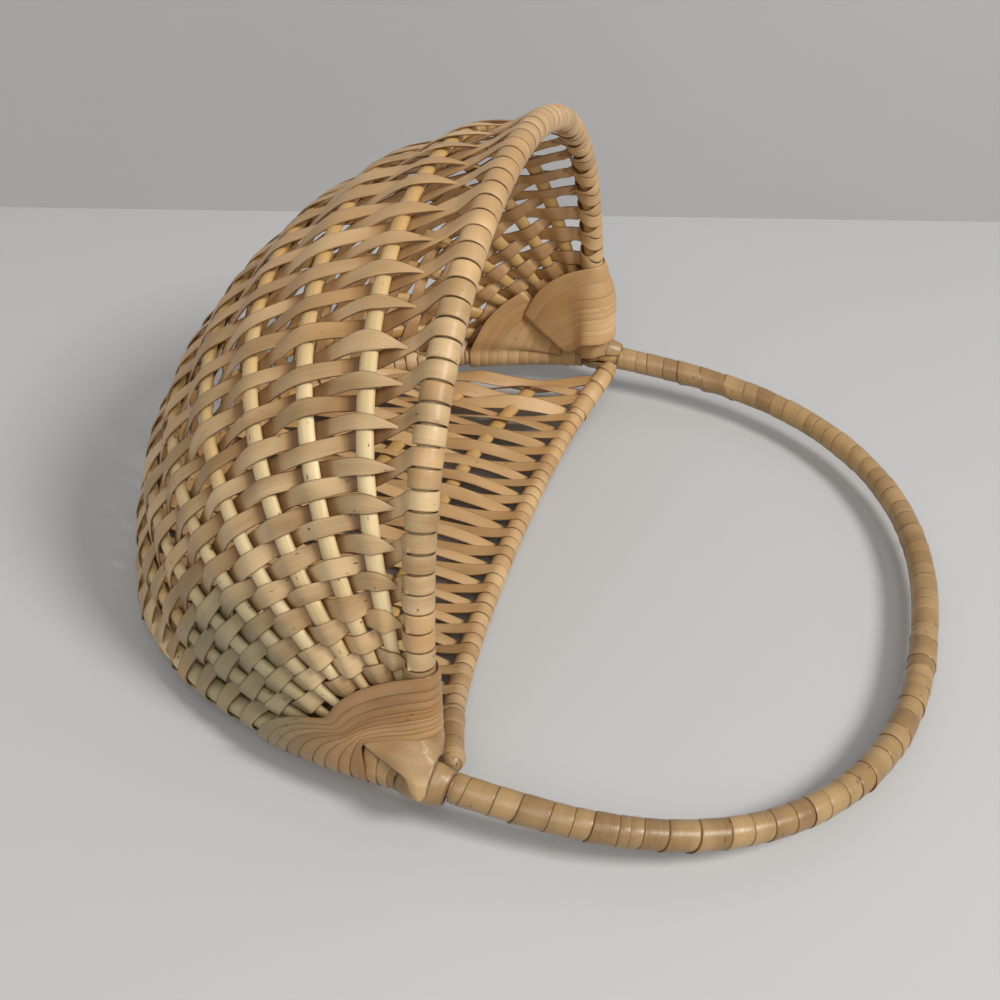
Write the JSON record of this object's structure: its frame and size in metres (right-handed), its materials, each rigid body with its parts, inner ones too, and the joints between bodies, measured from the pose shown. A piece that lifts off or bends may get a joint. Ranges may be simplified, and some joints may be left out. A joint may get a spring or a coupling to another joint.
{
  "type": "hanging wall basket",
  "caption": "Half-round woven wall basket: flat strips over and under rod ribs, a wrapped rim, a flat back and a wrapped hoop handle to hang it by.",
  "frame": {"origin": "on the wall plane, under the middle of the part's box, with the basket lying on its back as pictured", "axes": "+X to one ear, +Y from the body to the top of the handle, +Z out of the wall through the belly"},
  "size_m": [0.236, 0.2514, 0.1453],
  "materials": {
    "peeled_rod": "satin",
    "flat_strip": "matte",
    "satin_wrap": "satin"
  },
  "bodies": {
    "root": {"hanging_hoop": "peeled_rod", "front_rim": "peeled_rod", "back_bar": "peeled_rod", "belly_rib_1": "peeled_rod", "belly_rib_2": "peeled_rod", "belly_rib_3": "peeled_rod", "belly_rib_4": "peeled_rod", "belly_rib_5": "peeled_rod", "belly_rib_6": "peeled_rod", "belly_rib_7": "peeled_rod", "back_rib_1": "peeled_rod", "back_rib_2": "peeled_rod", "back_rib_3": "peeled_rod", "weaver_01": "flat_strip", "weaver_02": "flat_strip", "weaver_03": "flat_strip", "weaver_04": "flat_strip", "weaver_05": "flat_strip", "weaver_06": "flat_strip", "weaver_07": "flat_strip", "weaver_08": "flat_strip", "weaver_09": "flat_strip", "weaver_10": "flat_strip", "weaver_11": "flat_strip", "weaver_12": "flat_strip", "weaver_13": "flat_strip", "weaver_14": "flat_strip", "weaver_15": "flat_strip", "weaver_16": "flat_strip", "weaver_17": "flat_strip", "weaver_18": "flat_strip", "weaver_19": "flat_strip", "weaver_20": "flat_strip", "weaver_21": "flat_strip", "weaver_22": "flat_strip", "weaver_23": "flat_strip", "weaver_24": "flat_strip", "weaver_25": "flat_strip", "weaver_26": "flat_strip", "weaver_27": "flat_strip", "weaver_28": "flat_strip", "weaver_29": "flat_strip", "weaver_30": "flat_strip", "ear_strip_right_1": "flat_strip", "ear_strip_right_2": "flat_strip", "ear_strip_right_3": "flat_strip", "ear_strip_right_4": "flat_strip", "ear_strip_left_1": "flat_strip", "ear_strip_left_2": "flat_strip", "ear_strip_left_3": "flat_strip", "ear_strip_left_4": "flat_strip", "ear_binding_right": "satin_wrap", "ear_binding_left": "satin_wrap", "handle_wrap_right": "satin_wrap", "handle_wrap_left": "satin_wrap"}
  },
  "joints": []
}
